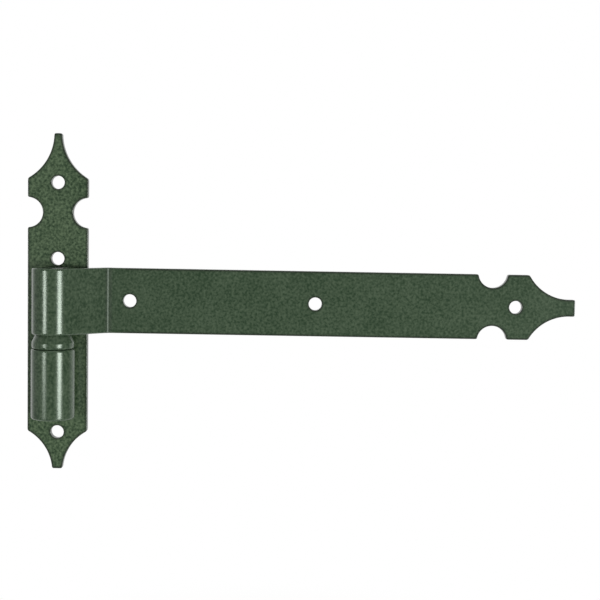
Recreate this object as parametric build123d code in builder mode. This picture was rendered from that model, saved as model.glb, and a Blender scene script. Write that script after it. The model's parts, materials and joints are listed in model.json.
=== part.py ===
from build123d import *
import math
import os

# Lift-off strap hinge on a back plate, in millimetres.
# X runs along the strap, Y into the wall and Z up along the pin.
# The origin is the middle of the back plate's rear face.

# Bar stock
plate_thickness = 4.0
strap_thickness = 4.0
edge_break = 0.6

# Back plate, measured up and down from the strap's centre line
plate_width = 32.0
plate_top_reach = 88.5
plate_bottom_reach = 91.5
top_tip_width = 4.1
top_shoulder_drop = 23.9
top_hollow_radius = 27.5
bottom_tip_width = 5.4
bottom_shoulder_rise = 20.5
bottom_hollow_radius = 25.4
plate_notch_radius = 8.0
plate_notch_drop = 42.0

# Strap, measured along X from the pin's axis
strap_width = 35.0
strap_reach = 278.0
strap_tip_width = 9.0
strap_tip_stub = 3.0
strap_shoulder_back = 24.9
strap_hollow_radius = 25.0
strap_notch_radius = 8.0
strap_notch_back = 44.5
strap_notch_outset = 0.7

# Rolled eye and crank
crank_angle = 45.0
crank_inner_radius = 1.5
curl_gap = 1.0

# Screw holes
screw_hole_diameter = 7.0
top_hole_drop = 26.0
middle_hole_above_eye = 4.5
bottom_hole_rise = 20.0
first_hole_past_crank = 11.5
second_hole_reach = 138.0
last_hole_back = 32.0

# Pin, knuckle and ring
pin_diameter = 14.0
pin_below_eye_top = 1.5
pin_lead_chamfer = 2.5
pin_foot_chamfer = 0.8
running_clearance = 0.06
eye_plate_gap = 0.34
ring_height = 7.5
ring_rim_round = 2.85
ring_shoulder_angle = 25.0
knuckle_above_hole = 9.5
knuckle_edge_break = 1.0

# Weld beads in the grooves beside the knuckle
bead_leg = 2.4
bead_spread = 1.2
bead_root_gap = 0.5
bead_crown = 0.3
bead_end_margin = 1.5

# Heights: the plate is centred on the origin and the strap lies a little above it
strap_level = (plate_bottom_reach - plate_top_reach) / 2
plate_top = strap_level + plate_top_reach
plate_bottom = strap_level - plate_bottom_reach
eye_top = strap_level + strap_width / 2
eye_bottom = strap_level - strap_width / 2
top_hole_z = plate_top - top_hole_drop
middle_hole_z = eye_top + middle_hole_above_eye
bottom_hole_z = plate_bottom + bottom_hole_rise
knuckle_top = eye_bottom - ring_height
knuckle_bottom = bottom_hole_z + knuckle_above_hole

# Radii, and how far the pin's axis stands in front of the wall
pin_radius = pin_diameter / 2
bore_radius = pin_radius + running_clearance
eye_radius = bore_radius + strap_thickness
knuckle_radius = eye_radius + eye_plate_gap
axis_y = -(plate_thickness + knuckle_radius)
pin_axis = Axis((0, axis_y, 0), (0, 0, 1))
pin_plane = Plane.XZ.offset(-axis_y)

os.makedirs("parts", exist_ok=True)


# Back plate: flat bar with drawn-in ends, two round notches near its top and three holes
with BuildPart() as back_plate:
    with BuildSketch(Plane.XZ):
        with BuildLine():
            half_top = top_tip_width / 2
            half_bottom = bottom_tip_width / 2
            half_width = plate_width / 2
            top_shoulder = plate_top - top_shoulder_drop
            bottom_shoulder = plate_bottom + bottom_shoulder_rise
            Polyline((0, plate_bottom), (0, plate_top), (half_top, plate_top))
            RadiusArc((half_top, plate_top), (half_width, top_shoulder), -top_hollow_radius)
            Line((half_width, top_shoulder), (half_width, bottom_shoulder))
            RadiusArc((half_width, bottom_shoulder), (half_bottom, plate_bottom), -bottom_hollow_radius)
            Line((half_bottom, plate_bottom), (0, plate_bottom))
        make_face()
        mirror(about=Plane.YZ)
        notch_z = plate_top - plate_notch_drop
        with Locations((half_width, notch_z), (-half_width, notch_z)):
            Circle(plate_notch_radius, mode=Mode.SUBTRACT)
        with Locations((0, top_hole_z), (0, middle_hole_z), (0, bottom_hole_z)):
            Circle(screw_hole_diameter / 2, mode=Mode.SUBTRACT)
    extrude(amount=plate_thickness)
    front_face = back_plate.faces().sort_by(Axis.Y)[0]
    chamfer(front_face.outer_wire().edges(), edge_break)
back_plate.part.label = "back_plate"
export_step(back_plate.part, "parts/back_plate.step")


# Lower knuckle: a length of thick tube that stands against the plate
with BuildPart() as lower_knuckle:
    with BuildSketch(Plane.XY.offset(knuckle_bottom)):
        with Locations((0, axis_y)):
            Circle(knuckle_radius)
            Circle(pin_radius, mode=Mode.SUBTRACT)
    extrude(amount=knuckle_top - knuckle_bottom)
    end_faces = lower_knuckle.faces().filter_by(GeomType.PLANE)
    chamfer([face.outer_wire().edge() for face in end_faces], knuckle_edge_break)
lower_knuckle.part.label = "lower_knuckle"
export_step(lower_knuckle.part, "parts/lower_knuckle.step")


# Weld beads: one run on each side, between the plate's face and the knuckle's wall
with BuildPart() as weld_beads:
    with BuildSketch(Plane.XY.offset(knuckle_bottom + bead_end_margin)):
        upper_toe_x = math.sqrt(knuckle_radius**2 - (knuckle_radius - bead_leg) ** 2)
        root_x = math.sqrt(knuckle_radius**2 - (knuckle_radius - bead_root_gap) ** 2)
        upper_toe = (upper_toe_x, -plate_thickness - bead_leg)
        lower_toe = (upper_toe_x + bead_spread, -plate_thickness)
        with BuildLine():
            SagittaArc(lower_toe, upper_toe, -bead_crown)
            Polyline(upper_toe, (root_x, upper_toe[1]), (root_x, -plate_thickness), lower_toe)
        make_face()
        with Locations((0, axis_y)):
            Circle(knuckle_radius, mode=Mode.SUBTRACT)
        mirror(about=Plane.YZ)
    extrude(amount=knuckle_top - knuckle_bottom - 2 * bead_end_margin)
weld_beads.part.label = "weld_beads"
export_step(weld_beads.part, "parts/weld_beads.step")


# Hinge pin: pressed right through the knuckle, tapered where the strap is dropped over it
with BuildPart() as hinge_pin:
    with BuildSketch(Plane.XY.offset(knuckle_bottom)):
        with Locations((0, axis_y)):
            Circle(pin_radius)
    extrude(amount=eye_top - pin_below_eye_top - knuckle_bottom)
    pin_ends = hinge_pin.edges().filter_by(GeomType.CIRCLE).sort_by(Axis.Z)
    chamfer(pin_ends[-1], pin_lead_chamfer)
    chamfer(pin_ends[0], pin_foot_chamfer)
hinge_pin.part.label = "hinge_pin"
export_step(hinge_pin.part, "parts/hinge_pin.step")


# Bearing ring: loose on the pin, with a rounded rim as wide as the eye and a tapered shoulder under it
with BuildPart() as bearing_ring:
    with BuildSketch(pin_plane):
        rim_centre = (eye_radius - ring_rim_round, knuckle_top + ring_rim_round)
        with BuildLine():
            rim = CenterArc(rim_centre, ring_rim_round, -90, 90 + ring_shoulder_angle)
            rim_end = rim @ 1
            shoulder_rise = eye_bottom - rim_end.Y
            shoulder_radius = rim_end.X - shoulder_rise * math.tan(math.radians(ring_shoulder_angle))
            Polyline(
                rim_end,
                (shoulder_radius, eye_bottom),
                (bore_radius, eye_bottom),
                (bore_radius, knuckle_top),
                rim @ 0,
            )
        make_face()
    revolve(axis=pin_axis)
bearing_ring.part.label = "bearing_ring"
export_step(bearing_ring.part, "parts/bearing_ring.step")


# Strap: one bar rolled into an eye, cranked back to the wall's plane and cut to an outline
with BuildPart() as strap:
    # Its bent side profile: the bore runs on as the rear face, the eye's outside as the front face
    tangent_angle = crank_angle - 90
    crank_slope = math.tan(math.radians(crank_angle))
    curl_opening = math.degrees(math.acos((bore_radius - curl_gap) / eye_radius))
    curl_start = tangent_angle + curl_opening
    curl_turn = 360 - curl_opening
    with BuildSketch(Plane.XY.offset(eye_bottom)):
        with BuildLine():
            bore = CenterArc((0, axis_y), bore_radius, curl_start, curl_turn)
            rear_ramp = bore @ 1
            rear_crank_x = rear_ramp.X - rear_ramp.Y / crank_slope
            rear = FilletPolyline(
                rear_ramp,
                (rear_crank_x, 0),
                (strap_reach, 0),
                radius=crank_inner_radius + strap_thickness,
            )
            eye = CenterArc((0, axis_y), eye_radius, curl_start, curl_turn)
            front_ramp = eye @ 1
            front_crank_x = front_ramp.X - (strap_thickness + front_ramp.Y) / crank_slope
            front = FilletPolyline(
                front_ramp,
                (front_crank_x, -strap_thickness),
                (strap_reach, -strap_thickness),
                radius=crank_inner_radius,
            )
            Line(bore @ 0, eye @ 0)
            Line(rear @ 1, front @ 1)
        make_face()
    extrude(amount=strap_width)
    # Its front outline, which trims the bar to the tip, the notches and the holes
    with BuildSketch(Plane.XZ):
        half_strap = strap_width / 2
        half_tip = strap_tip_width / 2
        shoulder_x = strap_reach - strap_shoulder_back
        hollow_x = strap_reach - strap_tip_stub
        with BuildLine():
            Polyline((-eye_radius, strap_level), (-eye_radius, eye_top), (shoulder_x, eye_top))
            RadiusArc((shoulder_x, eye_top), (hollow_x, strap_level + half_tip), -strap_hollow_radius)
            Polyline(
                (hollow_x, strap_level + half_tip),
                (strap_reach, strap_level + half_tip),
                (strap_reach, strap_level),
                (-eye_radius, strap_level),
            )
        make_face()
        mirror(about=Plane.XZ.offset(-strap_level))
        notch_x = strap_reach - strap_notch_back
        notch_offset = half_strap + strap_notch_outset
        with Locations((notch_x, strap_level + notch_offset), (notch_x, strap_level - notch_offset)):
            Circle(strap_notch_radius, mode=Mode.SUBTRACT)
        first_hole_x = front_crank_x + first_hole_past_crank
        last_hole_x = strap_reach - last_hole_back
        with Locations(
            (first_hole_x, strap_level), (second_hole_reach, strap_level), (last_hole_x, strap_level)
        ):
            Circle(screw_hole_diameter / 2, mode=Mode.SUBTRACT)
    extrude(amount=eye_radius - axis_y, mode=Mode.INTERSECT)
    # The flat's front rim is broken, apart from the crank's line, and the break runs on over the eye
    flat_front = strap.faces().filter_by(Axis.Y).sort_by(Axis.Y)[0]
    chamfer(flat_front.outer_wire().edges().sort_by(Axis.X)[1:], edge_break)
strap.part.label = "strap"
export_step(strap.part, "parts/strap.step")
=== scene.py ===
import json
import math
import bpy
import numpy as np
from mathutils.geometry import delaunay_2d_cdt
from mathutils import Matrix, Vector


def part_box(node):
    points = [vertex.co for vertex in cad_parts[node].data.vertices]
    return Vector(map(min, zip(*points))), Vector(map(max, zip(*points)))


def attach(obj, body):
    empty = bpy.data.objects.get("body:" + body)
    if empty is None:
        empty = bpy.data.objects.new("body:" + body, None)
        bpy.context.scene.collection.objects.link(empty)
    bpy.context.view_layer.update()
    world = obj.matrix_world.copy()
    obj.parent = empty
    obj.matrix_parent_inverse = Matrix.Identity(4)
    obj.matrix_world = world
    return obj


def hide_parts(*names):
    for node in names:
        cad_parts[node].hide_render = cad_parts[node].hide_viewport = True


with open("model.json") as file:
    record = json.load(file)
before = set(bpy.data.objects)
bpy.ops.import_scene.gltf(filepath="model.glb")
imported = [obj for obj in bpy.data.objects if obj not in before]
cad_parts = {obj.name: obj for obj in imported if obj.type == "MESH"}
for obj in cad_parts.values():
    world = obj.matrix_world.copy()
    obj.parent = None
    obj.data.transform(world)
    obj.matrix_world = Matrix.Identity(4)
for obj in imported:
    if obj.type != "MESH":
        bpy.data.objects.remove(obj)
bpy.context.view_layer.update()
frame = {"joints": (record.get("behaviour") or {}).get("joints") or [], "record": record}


# Back plate
# A length of 32 x 4 mm flat steel bar, drawn in to a waisted point at each end, with two round notches
# near its top and three plain screw holes by which it is fixed to the wall. Its green paint has a paler
# fleck than that of the other pieces.
def arc(centre, radius, start, end, count=48):
    """Points on a circle about centre, between two angles in degrees."""
    turn = np.radians(np.linspace(start, end, count))
    return np.stack([centre[0] + radius * np.cos(turn), centre[1] + radius * np.sin(turn)], axis=1)


def hollow(first, last, radius):
    """The short arc from first to last whose centre lies to the right of the walk between them.

    The centre is the chord's middle, pushed out at right angles until both ends are radius away.
    """
    first = np.array(first)
    last = np.array(last)
    chord = last - first
    reach = math.hypot(*chord)
    right = np.array([chord[1], -chord[0]]) / reach
    centre = (first + last) / 2 + right * math.sqrt(radius**2 - reach**2 / 4)
    start = math.degrees(math.atan2(*(first - centre)[::-1]))
    end = math.degrees(math.atan2(*(last - centre)[::-1]))
    swing = (end - start + 180) % 360 - 180
    return arc(centre, radius, start, start + swing)


def even_loop(corners, step, passes):
    """A closed outline walked at even steps, with its corners rounded off.

    Each place is found on the running length of the outline. A pass then moves every point half way
    to the middle of its two neighbours, which rounds a sharp corner and leaves straight runs alone.
    """
    closed = np.vstack([corners, corners[:1]])
    reach = np.append(0, np.cumsum(np.hypot(*np.diff(closed, axis=0).T)))
    count = 2 * round(reach[-1] / step / 2)
    marks = np.arange(count) * reach[-1] / count
    loop = np.stack([np.interp(marks, reach, side) for side in closed.T], axis=1)
    for _ in range(passes):
        loop = (np.roll(loop, 1, axis=0) + 2 * loop + np.roll(loop, -1, axis=0)) / 4
    return loop


def unit(vectors):
    """Each row divided by its length."""
    return vectors / np.linalg.norm(vectors, axis=-1, keepdims=True)


def edge_directions(loop):
    """For a loop that keeps its material on the left: the mitre and the outward normal at each point.

    An edge's normal is its direction turned right. The mitre is the sum of the two normals at a point,
    stretched so that a step along it moves both edges by the same amount, and the point's own normal
    is their mean weighted by length.
    """
    edges = np.roll(loop, -1, axis=0) - loop
    lengths = np.linalg.norm(edges, axis=1, keepdims=True)
    after = np.stack([edges[:, 1], -edges[:, 0]], axis=1) / lengths
    before = np.roll(after, 1, axis=0)
    mitre = (after + before) / (1 + (after * before).sum(axis=1, keepdims=True))
    return mitre, unit(after * lengths + before * np.roll(lengths, 1, axis=0))


def grid_faces(rows, columns, row_wrap, column_wrap, first=0):
    """Quads of a grid of points stored row by row, closed round on itself where a wrap is asked for."""
    row = np.arange(rows if row_wrap else rows - 1)[:, None]
    column = np.arange(columns if column_wrap else columns - 1)[None, :]
    next_row = (row + 1) % rows
    next_column = (column + 1) % columns
    corners = [row * columns + column, row * columns + next_column]
    corners += [next_row * columns + next_column, next_row * columns + column]
    return first + np.stack(np.broadcast_arrays(*corners), axis=-1).reshape(-1, 4)


def bar_edge(thickness, front_round, rear_round, steps=6):
    """A bar's edge from front face to rear face: a quarter round, the straight side, a quarter round.

    Gives the inset from the outline and the depth below the front face, with a row for each value of the
    front round, and how far the edge's normal leans to the front, as an angle from straight outward.
    """
    front = np.radians(np.linspace(90, 0, steps))
    rear = -front[::-1]
    front_round = np.reshape(front_round, (-1, 1))
    rear_round = np.full_like(front_round, rear_round)
    inset = np.hstack([front_round * (1 - np.cos(front)), rear_round * (1 - np.cos(rear))])
    depth = np.hstack([front_round * (1 - np.sin(front)), thickness - rear_round * (1 + np.sin(rear))])
    return inset, depth, np.append(front, rear)


def edge_wall(loop, edge):
    """A bar's edge carried along one loop: points as (along, across, depth), and their normals.

    A point steps in from the loop along the mitre by the edge's inset, and lies at the edge's depth. Its
    normal is the loop's outward normal, leant to the front by the edge's angle.
    """
    inset, depth, lean = edge
    mitre, outward = edge_directions(loop)
    flat = loop[:, None] - mitre[:, None] * inset[..., None]
    level = np.broadcast_to(depth[..., None], (*flat.shape[:2], 1))
    side = outward[:, None] * np.cos(lean)[None, :, None]
    facing = np.broadcast_to(-np.sin(lean)[None, :, None], (*side.shape[:2], 1))
    return np.concatenate([flat, level], axis=2), np.concatenate([side, facing], axis=2)


def inner_row(loops, border, stride=3, least_gap=0.95):
    """Points a border's width inside each loop, less those that come nearer than that to any loop.

    One point in each stride of a loop steps in along its mitre. Beside a corner such steps run past one
    another, and there the gap to the nearest point of all the loops is smaller than the step.
    """
    inner = np.vstack([(loop - edge_directions(loop)[0] * border)[::stride] for loop in loops])
    gap = np.linalg.norm(inner[:, None] - np.vstack(loops), axis=2).min(axis=1)
    return inner[gap > least_gap * border]


def flat_fill(loops, numbers, inner, inner_numbers):
    """Triangles between an outer loop and the holes inside it, numbered as the mesh numbers them.

    A constrained triangulation of all the loops' points and of the free points between them, less the
    triangles that lie in a hole, which are those with all three corners on the same hole.
    """
    inside_only = 1
    nearest = 1e-9
    sizes = [len(loop) for loop in loops]
    owner = np.append(np.repeat(np.arange(len(loops)), sizes), np.zeros(len(inner), int))
    starts = np.repeat(np.append(0, np.cumsum(sizes))[:-1], sizes)
    place = np.arange(sum(sizes))
    following = starts + (place - starts + 1) % np.repeat(sizes, sizes)
    rims = np.stack([place, following], axis=1)
    _, _, faces, origin, _, _ = delaunay_2d_cdt(
        np.concatenate([*loops, inner]).tolist(), rims.tolist(), [], inside_only, nearest
    )
    source = np.array([match[0] for match in origin])
    faces = source[np.array(faces)]
    corner_owner = owner[faces]
    in_hole = (corner_owner[:, 0] > 0) & (corner_owner == corner_owner[:, :1]).all(axis=1)
    return np.concatenate([*numbers, inner_numbers])[faces[~in_hole]]


def cut_bar(outline, holes, outline_edge, hole_edge, border, ladder=None):
    """A flat bar cut to an outline, with holes, as points, normals, faces and the share of rim.

    The outline and each hole get their edge's wall, and the front and the rear face are filled between
    the walls. A ladder is a pair of places, counted both ways from the outline's start: up to the first
    of them one face closes the bar's end, from there to the second straight quads go across the bar, so
    that this stretch can be rolled afterwards, and the rest of each face is triangulated round the holes.
    The share of rim is all on the edges, and it falls to nothing at a row of points a border's width
    inside them.
    """
    points, normals, faces, front, rear = [], [], [], [], []
    first = 0
    for loop in [outline, *holes]:
        wall, wall_normals = edge_wall(loop, outline_edge if loop is outline else hole_edge)
        rows, columns = wall.shape[:2]
        points.append(wall.reshape(-1, 3))
        normals.append(wall_normals.reshape(-1, 3))
        faces += grid_faces(rows, columns, True, False, first).tolist()
        numbers = first + np.arange(rows) * columns
        front.append((wall[:, 0, :2], numbers))
        rear.append((wall[:, -1, :2], numbers + columns - 1))
        first += rows * columns
    rim = [np.ones(first)]
    thickness = outline_edge[1][0, -1]
    for face, step, level in ((front, 1, 0), (rear, -1, thickness)):
        loops = [loop for loop, _ in face]
        loop_numbers = [numbers for _, numbers in face]
        if ladder:
            start, end = ladder
            whole, numbers = face[0]
            faces.append(np.append(numbers[-start:], numbers[: start + 1])[::step].tolist())
            rung = np.arange(start, end)
            rungs = [numbers[rung], numbers[rung + 1], numbers[-rung - 1], numbers[-rung]]
            faces += np.stack(rungs, axis=1)[:, ::step].tolist()
            loops[0] = whole[end : 1 - end]
            loop_numbers[0] = numbers[end : 1 - end]
        inner = inner_row(loops, border)
        inner_numbers = first + np.arange(len(inner))
        faces += flat_fill(loops, loop_numbers, inner, inner_numbers)[:, ::step].tolist()
        points.append(np.insert(inner, 2, level, axis=1))
        normals.append(np.broadcast_to((0, 0, -step), (len(inner), 3)))
        rim.append(np.zeros(len(inner)))
        first += len(inner)
    return np.concatenate(points), np.concatenate(normals), faces, np.concatenate(rim)


def add_piece(name, body, node, slot, finish, points, normals, faces, **shares):
    """A finished mesh with smooth shading, riding on its body in place of the plain node.

    Each share that is given, one value for each point, is kept as an attribute for the paint to read.
    """
    mesh = bpy.data.meshes.new(name)
    mesh.from_pydata(points.tolist(), [], faces)
    mesh.shade_smooth()
    for share, values in shares.items():
        mesh.attributes.new(share, "FLOAT", "POINT").data.foreach_set("value", values.astype(np.float32))
    if normals is not None:
        mesh.normals_split_custom_set_from_vertices(normals.tolist())
    mesh.materials.append(finish)
    piece = bpy.data.objects.new(name, mesh)
    bpy.context.collection.objects.link(piece)
    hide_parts(node)
    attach(piece, body)


class Socket:
    """An output of a node. Sums, differences and products of sockets add Math nodes to its tree."""

    def __init__(self, finish, output):
        self.finish = finish
        self.output = output

    def math(self, operation, first, second):
        return self.finish.node("Math", {"operation": operation}, Value=first, Value_001=second)

    def __add__(self, other):
        return self.math("ADD", self, other)

    def __radd__(self, other):
        return self.math("ADD", other, self)

    def __sub__(self, other):
        return self.math("SUBTRACT", self, other)

    def __rsub__(self, other):
        return self.math("SUBTRACT", other, self)

    def __mul__(self, other):
        return self.math("MULTIPLY", self, other)

    def __rmul__(self, other):
        return self.math("MULTIPLY", other, self)


class Finish:
    """A material, or the world, while its nodes are written."""

    def __init__(self, owner):
        owner.use_nodes = True
        self.owner = owner
        self.tree = owner.node_tree
        self.tree.nodes.clear()

    def node(self, kind, settings=None, output=0, **inputs):
        """Adds a node, sets its settings, then fills or links the inputs named by label or identifier."""
        node = self.tree.nodes.new("ShaderNode" + kind)
        for name, value in (settings or {}).items():
            if name == "stops":
                for stop, (place, colour) in zip(node.color_ramp.elements, value):
                    stop.position = place
                    stop.color = (*colour, 1)
            else:
                setattr(node, name, value)
        plugs = {plug.name.replace(" ", "_"): plug for plug in reversed(node.inputs) if plug.enabled}
        plugs |= {plug.identifier: plug for plug in node.inputs if plug.enabled}
        for name, value in inputs.items():
            if isinstance(value, Socket):
                self.tree.links.new(value.output, plugs[name])
            else:
                plugs[name].default_value = value
        return Socket(self, node.outputs[output]) if node.outputs else None


def green_paint(name, ground, fleck_colour):
    """Glossy green paint with a fine pale fleck, painted shade along a bar's rims and in a rougher sharp
    fold.

    Fine noise with a little coarse noise in it picks the colour between ground and fleck. The shares of
    rim and fold then darken it towards a dark colour as painted shade, and the bump is a faint orange
    peel.
    """
    fleck_share = 0.85
    cloud_share = 0.15
    ground_stop = 0.36
    fleck_stop = 0.65
    # Painted shade: the dark colour that the rims and the fold are darkened towards, and by how much
    painted_shade_colour = (0.010, 0.013, 0.009, 1)
    rim_shade = 0.75
    fold_shade = 0.4
    peel_relief = 0.75
    fleck_relief = 0.25
    gloss_roughness = 0.19
    cloud_dulling = 0.1
    fold_dulling = 0.17
    green_sheen = (0.88, 1.0, 0.88, 1)

    paint = Finish(bpy.data.materials.new(name))
    place = paint.node("TexCoord", output="Object")
    fleck = paint.node("TexNoise", Vector=place, Scale=720.0, Detail=2.0, Roughness=0.55)
    cloud = paint.node("TexNoise", Vector=place, Scale=70.0, Detail=2.0, Roughness=0.5)
    peel = paint.node("TexNoise", Vector=place, Scale=420.0, Detail=2.0, Roughness=0.45)
    tone = paint.node(
        "ValToRGB",
        {"stops": ((ground_stop, ground), (fleck_stop, fleck_colour))},
        Fac=fleck * fleck_share + cloud * cloud_share,
    )
    rim = paint.node("Attribute", {"attribute_name": "rim"}, output="Fac")
    fold = paint.node("Attribute", {"attribute_name": "fold"}, output="Fac")
    # Painted shade along the rims and in the fold
    shaded_tone = paint.node(
        "Mix",
        {"data_type": "RGBA"},
        output=2,
        Factor_Float=rim * rim_shade + fold * fold_shade,
        A_Color=tone,
        B_Color=painted_shade_colour,
    )
    relief = peel * peel_relief + fleck * fleck_relief
    surface = paint.node(
        "BsdfPrincipled",
        Base_Color=shaded_tone,
        Roughness=gloss_roughness + cloud * cloud_dulling + fold * fold_dulling,
        IOR=1.52,
        Specular_Tint=green_sheen,
        Normal=paint.node("Bump", Strength=0.25, Distance=0.00006, Height=relief),
    )
    paint.node("OutputMaterial", Surface=surface)
    return paint.owner


plate_low, plate_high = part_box("back_plate")
plate_thickness = plate_high[1] - plate_low[1]
plate_top_half = 0.00205
plate_bottom_half = 0.0027
plate_top_shoulder = plate_high[2] - 0.0239
plate_bottom_shoulder = plate_low[2] + 0.0205
plate_top_hollow = 0.0275
plate_bottom_hollow = 0.0254
plate_notch = (plate_high[0], plate_high[2] - 0.042)
notch_radius = 0.008
edge_step = 0.0004
plate_corner_passes = 5
half_plate = np.vstack(
    [
        hollow(
            (plate_bottom_half, plate_low[2]),
            (plate_high[0], plate_bottom_shoulder),
            plate_bottom_hollow,
        ),
        arc(plate_notch, notch_radius, 270, 90),
        hollow(
            (plate_high[0], plate_top_shoulder),
            (plate_top_half, plate_high[2]),
            plate_top_hollow,
        ),
    ]
)
plate_corners = np.vstack([half_plate, half_plate[::-1] * (-1, 1)])
plate_outline = even_loop(plate_corners, edge_step, plate_corner_passes)

mounts = {mount["name"]: mount for mount in frame["record"]["mounts"]}
mm_per_metre = 1000
screw_radius = mounts["plate_end_screws"]["dims"]["hole_r_mm"] / mm_per_metre
hole_points = 96


def screw_places(name, spacing, axis):
    """The two ends of a pair of screw holes in the record, in metres along one axis."""
    mount = mounts[name]
    half = mount["dims"][spacing] / (2 * mm_per_metre)
    return mount["pos_m"][axis] - half, mount["pos_m"][axis] + half


def screw_hole(centre):
    """The rim of a screw hole, walked clockwise so that it keeps the bar on its left."""
    return arc(centre, screw_radius, 360, 0, hole_points + 1)[:-1]


plate_screws = [
    screw_places("plate_end_screws", "spacing_y_mm", 2)[0],
    *screw_places("plate_upper_screws", "spacing_y_mm", 2),
]
plate_holes = [screw_hole((0, height)) for height in plate_screws]
rim_round = 0.0005
rear_round = 0.0004
hole_round = 0.0003
# The painted shade along a bar's rims fades out over this width
rim_shade_width = 0.001
plate_edge = bar_edge(plate_thickness, rim_round, rear_round)
hole_edge = bar_edge(plate_thickness, hole_round, hole_round)
points, normals, faces, rim = cut_bar(plate_outline, plate_holes, plate_edge, hole_edge, rim_shade_width)
plate_ground = (0.016, 0.039, 0.016)
plate_fleck = (0.104, 0.154, 0.084)
add_piece(
    "back_plate_painted",
    "plate",
    "back_plate",
    "green_paint",
    green_paint("plate_paint", plate_ground, plate_fleck),
    points[:, [0, 2, 1]] + (0, plate_low[1], 0),
    normals[:, [0, 2, 1]],
    faces,
    rim=rim,
)


# Lower knuckle
# A short length of thick steel tube, cut square with its ends rounded off, which stands against the
# front of the plate and is welded to it down both sides.
corner_steps = 7


def rounded(corners, radii):
    """A closed section with each corner rounded to its own radius, in corner_steps points.

    Each corner is a circular arc between the points where the round leaves the two sides, written as a
    rational curve of the second order whose middle weight is the sine of half the corner's angle.
    """
    corners = np.array(corners)
    back = unit(np.roll(corners, 1, axis=0) - corners)
    ahead = unit(np.roll(corners, -1, axis=0) - corners)
    half_angle = np.arccos(np.clip((back * ahead).sum(axis=1), -1, 1)) / 2
    leave = (np.array(radii) / np.tan(half_angle))[:, None]
    start = (corners + back * leave)[:, None]
    middle = corners[:, None]
    end = (corners + ahead * leave)[:, None]
    along = np.linspace(0, 1, corner_steps)[None, :, None]
    pull = 2 * along * (1 - along) * np.sin(half_angle)[:, None, None]
    weight = (1 - along) ** 2 + pull + along**2
    return ((start * (1 - along) ** 2 + middle * pull + end * along**2) / weight).reshape(-1, 2)


def turned(section, axis, solid=False, count=160):
    """A section of (radius, height) swung round an upright axis: points, normals and faces.

    A tube's section is closed on itself. A solid's section runs from the rim of its foot up to the rim
    of its top, and each end is closed by one flat face.
    """
    _, outward = edge_directions(section)
    turn = np.linspace(0, 2 * np.pi, count, endpoint=False)[:, None]
    faces = grid_faces(count, len(section), True, not solid)[:, ::-1].tolist()
    if solid:
        outward[[0, -1]] = (0, -1), (0, 1)
        rim = np.arange(count) * len(section)
        faces += [rim[::-1].tolist(), (rim + len(section) - 1).tolist()]
    points = [axis[0] + section[:, 0] * np.cos(turn), axis[1] + section[:, 0] * np.sin(turn)]
    normals = [outward[:, 0] * np.cos(turn), outward[:, 0] * np.sin(turn)]
    height = np.broadcast_to(section[:, 1], points[0].shape)
    rise = np.broadcast_to(outward[:, 1], points[0].shape)
    points = np.stack([*points, height], axis=2).reshape(-1, 3)
    normals = np.stack([*normals, rise], axis=2).reshape(-1, 3)
    return points, normals, faces


pin_axis = frame["joints"][0]["pos_m"]
knuckle_low, knuckle_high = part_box("lower_knuckle")
pin_low, pin_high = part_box("hinge_pin")
knuckle_radius = (knuckle_high[0] - knuckle_low[0]) / 2
pin_radius = (pin_high[0] - pin_low[0]) / 2
knuckle_end_round = 0.0011
knuckle_bore_round = 0.0003
knuckle_section = rounded(
    [
        (pin_radius, knuckle_low[2]),
        (knuckle_radius, knuckle_low[2]),
        (knuckle_radius, knuckle_high[2]),
        (pin_radius, knuckle_high[2]),
    ],
    (knuckle_bore_round, knuckle_end_round, knuckle_end_round, knuckle_bore_round),
)
barrel_ground = (0.020, 0.044, 0.020)
barrel_fleck = (0.070, 0.105, 0.062)
barrel_paint = green_paint("barrel_paint", barrel_ground, barrel_fleck)
add_piece(
    "lower_knuckle_painted",
    "plate",
    "lower_knuckle",
    "green_paint",
    barrel_paint,
    *turned(knuckle_section, pin_axis),
)


# Weld beads
# One run of weld down each side of the knuckle, filling the groove between it and the plate. Each run
# was laid in small overlapping pools, which show through the paint as ripples.
bead_low, bead_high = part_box("weld_beads")
bead_rows = 180
bead_columns = 14
bead_crown = 0.0003
toe_overlap = 0.12
nose_power = 24
nose_width = 0.55
ripple_pitch = 0.0017
ripple_scale = 0.00044
ripple_bow = 0.45
ripple_fall = 1.5
ripple_rise = 0.4
slow_wander = 0.00012
slow_rate = 900
quick_wander = 0.00009
quick_rate = 2300
root_offset = 0.0046
root_gap = 0.00045
groove_root = np.array((root_offset, plate_low[1] - root_gap))
toe_on_plate = np.array((bead_high[0], bead_high[1]))
toe_on_knuckle = np.array((math.sqrt(knuckle_radius**2 - (bead_low[1] - pin_axis[1]) ** 2), bead_low[1]))


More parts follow.
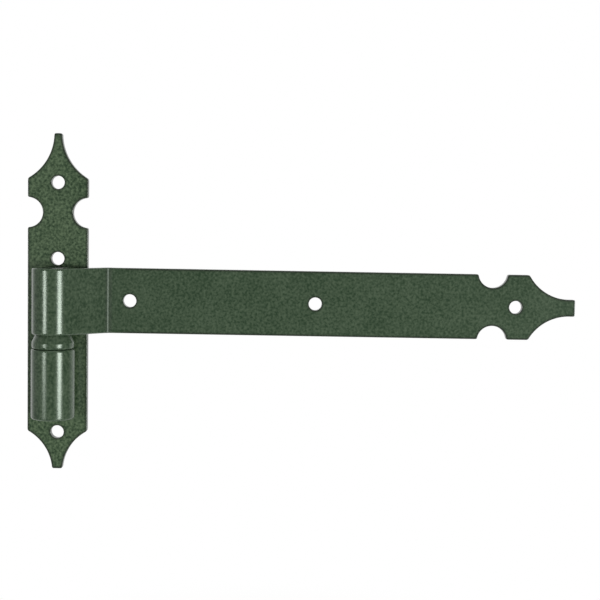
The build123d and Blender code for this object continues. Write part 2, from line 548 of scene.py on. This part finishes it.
def weld_run(low, high, side, first):
    """One bead as points and faces: rows run up the groove, columns go across it and back behind it.

    Across, the surface is the straight line from its toe on the plate to its toe on the knuckle, swollen
    by a parabola. The ripples are a rounded saw along the height whose crests bow down in the middle, and
    a slow and a quick wave move the toes. Towards both ends the swelling and the width fade like a round
    nose.
    """
    height = np.linspace(low, high, bead_rows)[:, None]
    across = np.linspace(-toe_overlap, 1 + toe_overlap, bead_columns)[None, :]
    reach = np.abs(2 * (height - low) / (high - low) - 1)
    nose = np.sqrt(np.clip(1 - reach**nose_power, 0, 1))
    slow_wave = slow_wander * np.sin(height * slow_rate + side)
    quick_wave = quick_wander * np.sin(height * quick_rate - 2 * side)
    wander = slow_wave + quick_wave
    saw = (height / ripple_pitch + ripple_bow * (2 * across - 1) ** 2) % 1
    ripple = ripple_scale * (1 - saw) ** ripple_fall * saw**ripple_rise
    swell = (bead_crown + ripple + wander) * 4 * across * (1 - across) * nose
    width = (nose_width + (1 - nose_width) * nose)[..., None]
    plate_toe = groove_root + (toe_on_plate - groove_root) * width
    knuckle_toe = groove_root + (toe_on_knuckle - groove_root) * width
    line = knuckle_toe - plate_toe
    out = unit(np.stack([-line[..., 1], line[..., 0]], axis=-1))
    flat = plate_toe + line * across[..., None] + out * (swell + wander)[..., None]
    back = np.broadcast_to(groove_root, (bead_rows, 1, 2))
    flat = np.concatenate([flat, back], axis=1) * (side, 1)
    level = np.broadcast_to(height, flat.shape[:2])
    around = bead_columns + 1
    faces = grid_faces(bead_rows, around, False, True, first)[:, ::-side].tolist()
    foot = first + np.arange(around)
    head = foot + (bead_rows - 1) * around
    faces += [foot[::side].tolist(), head[::-side].tolist()]
    return np.concatenate([flat, level[..., None]], axis=2).reshape(-1, 3), faces


right_points, right_faces = weld_run(bead_low[2], bead_high[2], 1, 0)
left_points, left_faces = weld_run(bead_low[2], bead_high[2], -1, len(right_points))
add_piece(
    "weld_beads_painted",
    "plate",
    "weld_beads",
    "green_paint",
    barrel_paint,
    np.vstack([right_points, left_points]),
    None,
    right_faces + left_faces,
)


# Hinge pin
# A turned steel pin, pressed right through the knuckle and left bare, with a tapered lead at the top
# so that the strap's eye finds it.
def turned_steel():
    """Bright steel with the fine rings that a lathe leaves round its axis, and a little dulling.

    The rings are noise over one value, height plus distance from the axis, so that they run round the
    shank and round the tapered lead alike.
    """
    dark_steel = (0.44, 0.44, 0.425)
    bright_steel = (0.58, 0.58, 0.56)
    dark_stop = 0.3
    bright_stop = 0.75
    ring_share = 0.5
    smear_share = 0.5
    polish_roughness = 0.24
    smear_dulling = 0.2

    steel = Finish(bpy.data.materials.new("pin_steel"))
    place = steel.node("TexCoord", output="Object")
    centred = steel.node("Mapping", Vector=place, Location=(-pin_axis[0], -pin_axis[1], 0))
    height = steel.node("SeparateXYZ", output="Z", Vector=centred)
    level = steel.node("VectorMath", {"operation": "MULTIPLY"}, Vector=centred, Vector_001=(1, 1, 0))
    radius = steel.node("VectorMath", {"operation": "LENGTH"}, output="Value", Vector=level)
    rings = steel.node("TexNoise", {"noise_dimensions": "1D"}, W=height + radius, Scale=5200.0, Detail=3.0)
    smear = steel.node("TexNoise", Vector=place, Scale=180.0, Detail=2.0)
    tone = steel.node(
        "ValToRGB",
        {"stops": ((dark_stop, dark_steel), (bright_stop, bright_steel))},
        Fac=rings * ring_share + smear * smear_share,
    )
    surface = steel.node(
        "BsdfPrincipled",
        Base_Color=tone,
        Metallic=1.0,
        Roughness=polish_roughness + smear * smear_dulling,
        Normal=steel.node("Bump", Strength=0.3, Distance=0.00003, Height=rings),
    )
    steel.node("OutputMaterial", Surface=surface)
    return steel.owner


pin_lead = 0.0025
pin_foot = 0.0008
pin_foot_round = 0.0003
pin_lead_round = 0.0012
pin_top_round = 0.0008
pin_section = rounded(
    [
        (0, pin_low[2]),
        (pin_radius - pin_foot, pin_low[2]),
        (pin_radius, pin_low[2] + pin_foot),
        (pin_radius, pin_high[2] - pin_lead),
        (pin_radius - pin_lead, pin_high[2]),
        (0, pin_high[2]),
    ],
    (0, pin_foot_round, pin_foot_round, pin_lead_round, pin_top_round, 0),
)[corner_steps:-corner_steps]
add_piece(
    "hinge_pin_turned",
    "plate",
    "hinge_pin",
    "pin_steel",
    turned_steel(),
    *turned(pin_section, pin_axis, solid=True),
)


# Bearing ring
# A loose turned steel ring, painted and dropped on the pin for the strap to run on. Its rim is rounded,
# and a tapered shoulder leads from the rim up to the underside of the eye.
ring_low, ring_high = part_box("bearing_ring")
ring_radius = (ring_high[0] - ring_low[0]) / 2
running_clearance = 0.00006
ring_bore = pin_radius + running_clearance
oil_film = 0.00002
ring_foot = ring_low[2] + oil_film
ring_top = ring_high[2] - oil_film
ring_rim_round = 0.00285
ring_foot_round = 0.0013
ring_edge_round = 0.0003
shoulder_angle = 25
rim_centre = (ring_radius - ring_rim_round, ring_foot + ring_rim_round)
ring_rim = arc(rim_centre, ring_rim_round, 0, shoulder_angle, count=16)
shoulder_rise = ring_top - ring_rim[-1, 1]
shoulder_radius = ring_rim[-1, 0] - shoulder_rise * math.tan(math.radians(shoulder_angle))
ring_corners = rounded(
    [
        (ring_bore, ring_foot),
        (ring_radius, ring_foot),
        ring_rim[0],
        ring_rim[-1],
        (shoulder_radius, ring_top),
        (ring_bore, ring_top),
    ],
    (ring_edge_round, ring_foot_round, 0, 0, ring_edge_round, ring_edge_round),
)
ring_section = np.vstack([ring_corners[: 2 * corner_steps], ring_rim, ring_corners[4 * corner_steps :]])
add_piece(
    "bearing_ring_painted",
    "ring",
    "bearing_ring",
    "green_paint",
    barrel_paint,
    *turned(ring_section, pin_axis),
)


# Strap
# One 35 x 4 mm steel bar, cut to its outline in the flat, then rolled at one end into the eye that goes
# over the pin, and cranked so that the rest of it lies in the plane of the plate.
strap_low, strap_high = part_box("strap")
strap_level = (strap_low[2] + strap_high[2]) / 2
strap_half = (strap_high[2] - strap_low[2]) / 2
strap_thickness = plate_thickness
strap_tip_half = 0.0045
strap_stub = 0.003
strap_shoulder = 0.0249
strap_hollow = 0.025
strap_notch_back = 0.0445
strap_notch_outset = 0.0007
strap_corner_passes = 4
eye_radius = ring_radius
bore_radius = ring_bore
crank_angle = math.radians(45)
crank_inner = 0.0023
curl_gap = 0.001

# The bar's middle line: round the eye, down the ramp, through the crank and along the flat
middle_radius = (eye_radius + bore_radius) / 2
crank_middle = crank_inner + strap_thickness / 2
curl_turn = 2 * math.pi - math.acos((bore_radius - curl_gap) / eye_radius)
curl_end_angle = crank_angle - math.pi / 2
curl_start_angle = curl_end_angle - curl_turn
ramp_drop = -strap_thickness / 2 - pin_axis[1] - middle_radius * math.sin(curl_end_angle)
ramp_length = (ramp_drop - crank_middle * (1 - math.cos(crank_angle))) / math.sin(crank_angle)
eye_length = middle_radius * curl_turn
crank_length = crank_middle * crank_angle
flat_start = (
    middle_radius * math.cos(curl_end_angle)
    + ramp_length * math.cos(crank_angle)
    + crank_middle * math.sin(crank_angle)
)
bent_length = eye_length + ramp_length + crank_length
blank_length = bent_length + strap_high[0] - flat_start
path_points = 20001


def rolled(points, normals):
    """Rolls the flat blank into its eye and crank.

    The heading along the blank is a broken line of the length: it turns left evenly through the eye,
    holds on the ramp, turns right through the crank and holds again. The path is the running sum of the
    heading's direction, and each point stands off that path by its depth in the bar.
    """
    knots = np.cumsum([0, eye_length, ramp_length, crank_length, blank_length - bent_length])
    turns = [curl_start_angle + math.pi / 2, curl_end_angle + math.pi / 2, crank_angle, 0, 0]
    length = np.linspace(0, blank_length, path_points)
    step = length[1]
    middle_heading = np.interp(length[:-1] + step / 2, knots, turns)
    start_x = middle_radius * math.cos(curl_start_angle)
    start_y = pin_axis[1] + middle_radius * math.sin(curl_start_angle)
    path_x = start_x + np.append(0, np.cumsum(np.cos(middle_heading))) * step
    path_y = start_y + np.append(0, np.cumsum(np.sin(middle_heading))) * step
    heading = np.interp(points[:, 0], knots, turns)
    out = strap_thickness / 2 - points[:, 2]
    ahead_x = np.cos(heading)
    ahead_y = np.sin(heading)
    place = [np.interp(points[:, 0], length, path_x) + ahead_y * out]
    place += [np.interp(points[:, 0], length, path_y) - ahead_x * out]
    facing = [normals[:, 0] * ahead_x - normals[:, 2] * ahead_y]
    facing += [normals[:, 0] * ahead_y + normals[:, 2] * ahead_x]
    return np.stack([*place, points[:, 1]], axis=1), np.stack([*facing, normals[:, 1]], axis=1)


def eased(value, start, end):
    """Nothing at start and all at end, the same beyond them, and a smooth cubic step between."""
    share = np.clip((value - start) / (end - start), 0, 1)
    return share * share * (3 - 2 * share)


notch_place = (blank_length - strap_notch_back, -strap_half - strap_notch_outset)
notch_mouth = math.degrees(math.asin(strap_notch_outset / notch_radius))
lower_half = np.vstack(
    [
        [(0, 0), (0, -strap_half)],
        arc(notch_place, notch_radius, 180 - notch_mouth, notch_mouth),
        hollow(
            (blank_length - strap_shoulder, -strap_half),
            (blank_length - strap_stub, -strap_tip_half),
            strap_hollow,
        ),
        [(blank_length, -strap_tip_half)],
    ]
)
strap_corners = np.vstack([lower_half, lower_half[:0:-1] * (1, -1)])
strap_outline = even_loop(strap_corners, edge_step, strap_corner_passes)
strap_screws = [
    *screw_places("strap_near_screws", "spacing_x_mm", 0),
    screw_places("strap_far_screws", "spacing_x_mm", 0)[1],
]
strap_holes = [screw_hole((x - flat_start + bent_length, 0)) for x in strap_screws]

# The rims of eye and ramp are dressed to a larger round, which fades out at the crank and the hidden lip
eye_round = 0.0012
strap_round = 0.00045
lip_end = 0.002
lip_fade = 0.006
ramp_middle = eye_length + ramp_length / 2
along = strap_outline[:, 0]
dressed = eased(along, lip_end, lip_fade) * eased(along, bent_length, ramp_middle)
strap_edge = bar_edge(strap_thickness, strap_round + (eye_round - strap_round) * dressed, rear_round)

# Straight quads go across the bar from the lip to a little past the crank
fold_fade = 0.0018
lip_rung = int((strap_half + lip_end) / edge_step)
flat_rung = int((strap_half + bent_length + fold_fade) / edge_step) + 1
points, normals, faces, rim = cut_bar(
    strap_outline, strap_holes, strap_edge, hole_edge, rim_shade_width, (lip_rung, flat_rung)
)

# The paint has painted shade along the rims of the flat alone, and painted shade and more roughness in the
# crank's fold
rim_fade = 0.012
crank_start = bent_length - crank_length
along = points[:, 0]
rim *= eased(along, bent_length + fold_fade, bent_length + rim_fade)
before_flat = eased(along, bent_length + fold_fade, bent_length)
fold = eased(along, crank_start - fold_fade, crank_start) * before_flat
points, normals = rolled(points + (0, strap_level, 0), normals)
add_piece(
    "strap_painted",
    "strap",
    "strap",
    "green_paint",
    barrel_paint,
    points,
    normals,
    faces,
    rim=rim,
    fold=fold,
)


# Studio
# Nothing of the hinge: a pale floor well below it, a white surround that is brightest behind the hinge,
# and three soft lamps beside the camera, two on the right, one above the other, and one on the left.
eased_step = {"interpolation_type": "SMOOTHSTEP"}
lamp_distance = 2.2


def ray_kinds(finish):
    """Three sockets that say whether a ray comes from the camera, through glass or off a gloss."""
    kinds = ("Camera", "Transmission", "Glossy")
    return [finish.node("LightPath", output=f"Is {kind} Ray") for kind in kinds]


def studio_world():
    """White to the camera and in reflections from behind, and a softer light for everything else.

    That light is dim in front, less so at the far left, and white behind and overhead. Each change is a
    smooth step over one axis of the direction.
    """
    front_light = 0.23
    left_light = 0.25
    back_light = 0.77

    world = bpy.data.worlds.new("studio")
    surround = Finish(world)
    direct, through, mirrored = ray_kinds(surround)
    direction = surround.node("TexCoord", output="Generated")
    side, depth, height = [surround.node("SeparateXYZ", output=axis, Vector=direction) for axis in "XYZ"]
    left = surround.node("MapRange", eased_step, Value=side, From_Min=-0.6, From_Max=-1.0)
    behind = surround.node("MapRange", eased_step, Value=depth, From_Min=0.14, From_Max=0.8)
    above = surround.node("MapRange", eased_step, Value=height, From_Min=0.6, From_Max=1.0)
    bright = surround.node("Math", {"operation": "MAXIMUM"}, Value=behind, Value_001=above)
    studio = front_light + left * left_light + bright * back_light
    seen = direct + through + mirrored * behind
    strength = seen + (1 - seen) * studio
    light = surround.node("Background", Color=(1, 1, 1, 1), Strength=strength)
    surround.node("OutputWorld", Surface=light)
    bpy.context.scene.world = world


def lamp(name, angle, low, high, width, radiance):
    """A soft box that faces the pin, at an angle in degrees off the wall's normal.

    Its power is its radiance times pi times its area.
    """
    light = bpy.data.lights.new(name, "AREA")
    light.shape = "RECTANGLE"
    light.size = width
    light.size_y = high - low
    light.energy = radiance * math.pi * width * (high - low)
    box = bpy.data.objects.new(name, light)
    turn = math.radians(angle)
    box.location = (lamp_distance * math.sin(turn), -lamp_distance * math.cos(turn), (low + high) / 2)
    box.rotation_euler = (math.pi / 2, 0, turn)
    bpy.context.collection.objects.link(box)


studio_world()
lamp("right_lamp", angle=45, low=-0.27, high=0.0, width=0.80, radiance=27)
lamp("low_right_lamp", angle=45, low=-0.52, high=-0.27, width=0.62, radiance=19.5)
lamp("left_lamp", angle=-35.2, low=-0.27, high=0.03, width=0.57, radiance=24)

floor_drop = 0.2
floor_level = plate_low[2] - floor_drop
floor_middle = 0.13
floor_radius = 0.45
shadow_radius = 0.1
shadow_white = 0.7


def pale_floor():
    """Lit pale paint that a camera sees under the hinge, and that fades to white towards the floor's rim.

    The share of white is a smooth step over the distance from the floor's middle.
    """
    finish = Finish(bpy.data.materials.new("pale_floor"))
    direct, through, mirrored = ray_kinds(finish)
    place = finish.node("TexCoord", output="Object")
    centred = finish.node("Mapping", Vector=place, Location=(-floor_middle, 0, -floor_level))
    radius = finish.node("VectorMath", {"operation": "LENGTH"}, output="Value", Vector=centred)
    fade = finish.node(
        "MapRange",
        eased_step,
        Value=radius,
        From_Min=shadow_radius,
        From_Max=floor_radius,
        To_Min=shadow_white,
        To_Max=1.0,
    )
    paint = finish.node("BsdfDiffuse", Color=(0.86, 0.86, 0.85, 1))
    white = finish.node("Emission", Color=(1, 1, 1, 1), Strength=1.0)
    share = (direct + through + mirrored) * fade
    mix = finish.node("MixShader", Fac=share, Shader=paint, Shader_001=white)
    finish.node("OutputMaterial", Surface=mix)
    return finish.owner


floor_rim = arc((floor_middle, 0), floor_radius, 0, 360, count=129)[:-1]
floor_points = np.insert(floor_rim, 2, floor_level, axis=1).tolist()
floor_mesh = bpy.data.meshes.new("floor")
floor_mesh.from_pydata(floor_points, [], [list(range(len(floor_points)))])
floor_mesh.materials.append(pale_floor())
floor = bpy.data.objects.new("floor", floor_mesh)
bpy.context.collection.objects.link(floor)

bpy.context.scene.view_settings.view_transform = "Standard"

# The camera stands where a fit to the photo's outlines puts it
camera = bpy.data.objects.new("camera", bpy.data.cameras.new("camera"))
camera.location = (0.1213, -0.6219, 0.0460)
camera.rotation_euler = np.radians((86.068, -1.040, -0.715))
camera.data.lens = 69.25
camera.data.sensor_width = 36
bpy.context.collection.objects.link(camera)
bpy.context.scene.camera = camera
